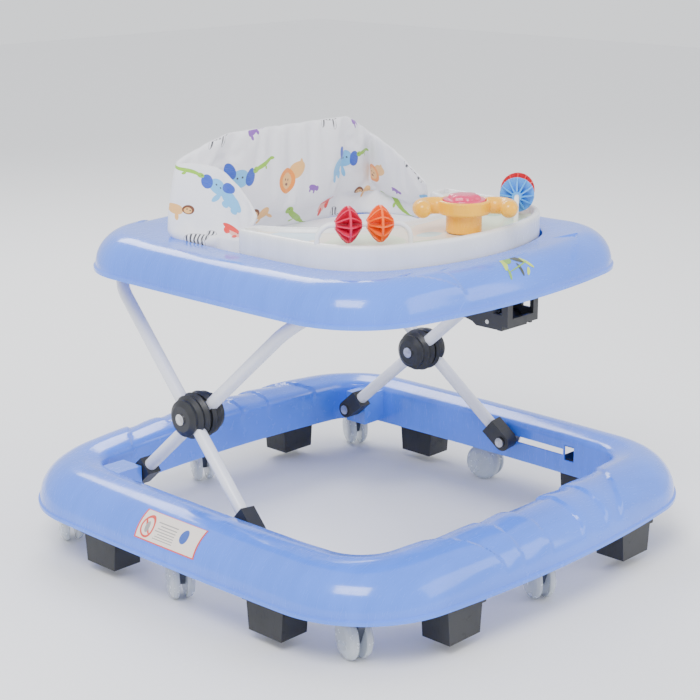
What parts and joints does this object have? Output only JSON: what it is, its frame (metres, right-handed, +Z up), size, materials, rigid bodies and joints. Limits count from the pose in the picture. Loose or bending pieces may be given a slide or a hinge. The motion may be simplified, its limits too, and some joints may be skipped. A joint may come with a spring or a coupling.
{
  "type": "baby walker",
  "caption": "Folding baby walker: wide wheeled base ring, crossed bent tubes, upper ring with play tray, toys and padded fabric seat.",
  "frame": {"origin": "on the floor under the middle of the base ring", "axes": "+Z up, the front of the walker faces -Y, the child's right hand is at -X"},
  "size_m": [0.665, 0.6798, 0.5228],
  "materials": {
    "ring_blue": "gloss",
    "tube_white": "gloss",
    "black_plastic": "satin",
    "stopper_black": "matt",
    "steel": "satin",
    "tray_white": "gloss",
    "tray_print": "satin",
    "label": "satin",
    "decal": "gloss",
    "arch_white": "gloss",
    "spinner_magenta": "gloss",
    "spinner_orange": "gloss",
    "spinner_blue": "gloss",
    "spinner_red": "gloss",
    "wheel_yellow": "gloss",
    "horn_pink": "gloss",
    "seat_fabric": "woven",
    "hook_white": "satin",
    "caster_fork": "satin",
    "caster_clear": "translucent gloss"
  },
  "bodies": {
    "base": {"base_ring": "ring_blue", "warning_label": "label", "rear_foot_pins": "steel", "stoppers_front": "stopper_black", "stoppers_rear": "stopper_black", "stoppers_right": "stopper_black", "stoppers_left": "stopper_black"},
    "inner_frame": {"inner_tube": "tube_white", "rear_foot_caps": "black_plastic", "hub_inner_right": "black_plastic", "hub_inner_left": "black_plastic"},
    "outer_frame": {"outer_tube": "tube_white", "slide_foot_caps": "black_plastic", "slide_pins": "steel", "hub_outer_right": "black_plastic", "hub_outer_left": "black_plastic", "hub_rivets": "steel"},
    "tray": {"upper_ring": "ring_blue", "play_tray": "tray_white", "tray_print": "tray_print", "adjuster_bracket": "black_plastic", "rear_clip_right": "black_plastic", "rear_clip_left": "black_plastic", "fixing_screws": "steel", "lever_pin": "steel", "lever_spring": "steel", "front_decal": "decal", "toy_arch_right": "arch_white", "toy_arch_left": "arch_white", "seat_back": "seat_fabric", "seat_sling": "seat_fabric", "seat_hooks": "hook_white"},
    "lever": {"release_lever": "black_plastic"},
    "steering": {"steering_wheel": "wheel_yellow", "button_spring": "steel"},
    "horn": {"horn_button": "horn_pink"},
    "spinner_magenta": {"spinner_magenta": "spinner_magenta"},
    "spinner_orange": {"spinner_orange": "spinner_orange"},
    "spinner_blue": {"spinner_blue": "spinner_blue"},
    "spinner_red": {"spinner_red": "spinner_red"},
    "caster_1": {"caster_fork_1": "caster_fork"},
    "wheels_1": {"caster_wheels_1": "caster_clear"},
    "caster_2": {"caster_fork_2": "caster_fork"},
    "wheels_2": {"caster_wheels_2": "caster_clear"},
    "caster_3": {"caster_fork_3": "caster_fork"},
    "wheels_3": {"caster_wheels_3": "caster_clear"},
    "caster_4": {"caster_fork_4": "caster_fork"},
    "wheels_4": {"caster_wheels_4": "caster_clear"},
    "caster_5": {"caster_fork_5": "caster_fork"},
    "wheels_5": {"caster_wheels_5": "caster_clear"},
    "caster_6": {"caster_fork_6": "caster_fork"},
    "wheels_6": {"caster_wheels_6": "caster_clear"},
    "caster_7": {"caster_fork_7": "caster_fork"},
    "wheels_7": {"caster_wheels_7": "caster_clear"},
    "caster_8": {"caster_fork_8": "caster_fork"},
    "wheels_8": {"caster_wheels_8": "caster_clear"}
  },
  "joints": [
    {"name": "fold", "type": "hinge", "parent": "base", "child": "inner_frame", "pos_m": [0, 0.201, 0.0856], "axis": [1, 0, 0], "range_deg": [0, 33.2]},
    {"name": "scissor", "type": "hinge", "parent": "inner_frame", "child": "outer_frame", "pos_m": [0, 0.07377, 0.19698], "axis": [1, 0, 0], "range_deg": [-66.4, 0]},
    {"name": "tray_level", "type": "hinge", "parent": "outer_frame", "child": "tray", "pos_m": [0, 0.25134, 0.35243], "axis": [1, 0, 0], "range_deg": [0, 33.2]},
    {"name": "release", "type": "hinge", "parent": "tray", "child": "lever", "pos_m": [0, -0.22816, 0.33343], "axis": [1, 0, 0], "range_deg": [-12, 0], "stiffness_Nm_per_rad": 0.6, "springref_deg": 20.05},
    {"name": "steer", "type": "hinge", "parent": "tray", "child": "steering", "pos_m": [0, -0.16816, 0.45683], "axis": [0, 0, 1], "range_deg": [-60, 60]},
    {"name": "horn_press", "type": "slide", "parent": "steering", "child": "horn", "axis": [0, 0, -1], "range_m": [0, 0.003], "stiffness_N_per_m": 400, "springref_m": -0.002, "deforming": ["button_spring"]},
    {"name": "spin_magenta", "type": "hinge", "parent": "tray", "child": "spinner_magenta", "pos_m": [-0.15188, -0.12733, 0.45043], "axis": [-0.7986, 0.6018, 0], "continuous": true},
    {"name": "spin_orange", "type": "hinge", "parent": "tray", "child": "spinner_orange", "pos_m": [-0.12312, -0.149, 0.45043], "axis": [-0.7986, 0.6018, 0], "continuous": true},
    {"name": "spin_blue", "type": "hinge", "parent": "tray", "child": "spinner_blue", "pos_m": [0.12312, -0.149, 0.45043], "axis": [0.7986, 0.6018, 0], "continuous": true},
    {"name": "spin_red", "type": "hinge", "parent": "tray", "child": "spinner_red", "pos_m": [0.15188, -0.12733, 0.45043], "axis": [0.7986, 0.6018, 0], "continuous": true},
    {"name": "swivel_1", "type": "hinge", "parent": "base", "child": "caster_1", "pos_m": [-0.26655, -0.2531, 0.061], "axis": [0, 0, 1], "continuous": true},
    {"name": "roll_1", "type": "hinge", "parent": "caster_1", "child": "wheels_1", "pos_m": [-0.26131, -0.24011, 0.025], "axis": [-0.9272, 0.3746, 0], "continuous": true},
    {"name": "swivel_2", "type": "hinge", "parent": "base", "child": "caster_2", "pos_m": [0, -0.299, 0.061], "axis": [0, 0, 1], "continuous": true},
    {"name": "roll_2", "type": "hinge", "parent": "caster_2", "child": "wheels_2", "pos_m": [0.007, -0.28688, 0.025], "axis": [-0.866, 0.5, 0], "continuous": true},
    {"name": "swivel_3", "type": "hinge", "parent": "base", "child": "caster_3", "pos_m": [0.26655, -0.2531, 0.061], "axis": [0, 0, 1], "continuous": true},
    {"name": "roll_3", "type": "hinge", "parent": "caster_3", "child": "wheels_3", "pos_m": [0.27355, -0.24097, 0.025], "axis": [-0.866, 0.5, 0], "continuous": true},
    {"name": "swivel_4", "type": "hinge", "parent": "base", "child": "caster_4", "pos_m": [-0.2915, 0.01, 0.061], "axis": [0, 0, 1], "continuous": true},
    {"name": "roll_4", "type": "hinge", "parent": "caster_4", "child": "wheels_4", "pos_m": [-0.2845, 0.02212, 0.025], "axis": [-0.866, 0.5, 0], "continuous": true},
    {"name": "swivel_5", "type": "hinge", "parent": "base", "child": "caster_5", "pos_m": [0.2915, 0.01, 0.061], "axis": [0, 0, 1], "continuous": true},
    {"name": "roll_5", "type": "hinge", "parent": "caster_5", "child": "wheels_5", "pos_m": [0.28835, 0.02364, 0.025], "axis": [-0.9744, -0.225, 0], "continuous": true},
    {"name": "swivel_6", "type": "hinge", "parent": "base", "child": "caster_6", "pos_m": [-0.26655, 0.2531, 0.061], "axis": [0, 0, 1], "continuous": true},
    {"name": "roll_6", "type": "hinge", "parent": "caster_6", "child": "wheels_6", "pos_m": [-0.25955, 0.26522, 0.025], "axis": [-0.866, 0.5, 0], "continuous": true},
    {"name": "swivel_7", "type": "hinge", "parent": "base", "child": "caster_7", "pos_m": [0, 0.299, 0.061], "axis": [0, 0, 1], "continuous": true},
    {"name": "roll_7", "type": "hinge", "parent": "caster_7", "child": "wheels_7", "pos_m": [0.007, 0.31112, 0.025], "axis": [-0.866, 0.5, 0], "continuous": true},
    {"name": "swivel_8", "type": "hinge", "parent": "base", "child": "caster_8", "pos_m": [0.26655, 0.2531, 0.061], "axis": [0, 0, 1], "continuous": true},
    {"name": "roll_8", "type": "hinge", "parent": "caster_8", "child": "wheels_8", "pos_m": [0.27355, 0.26522, 0.025], "axis": [-0.866, 0.5, 0], "continuous": true}
  ],
  "couplings": [
    {"joint": "scissor", "follows": "fold", "ratio": -2},
    {"joint": "tray_level", "follows": "fold", "ratio": 1}
  ]
}
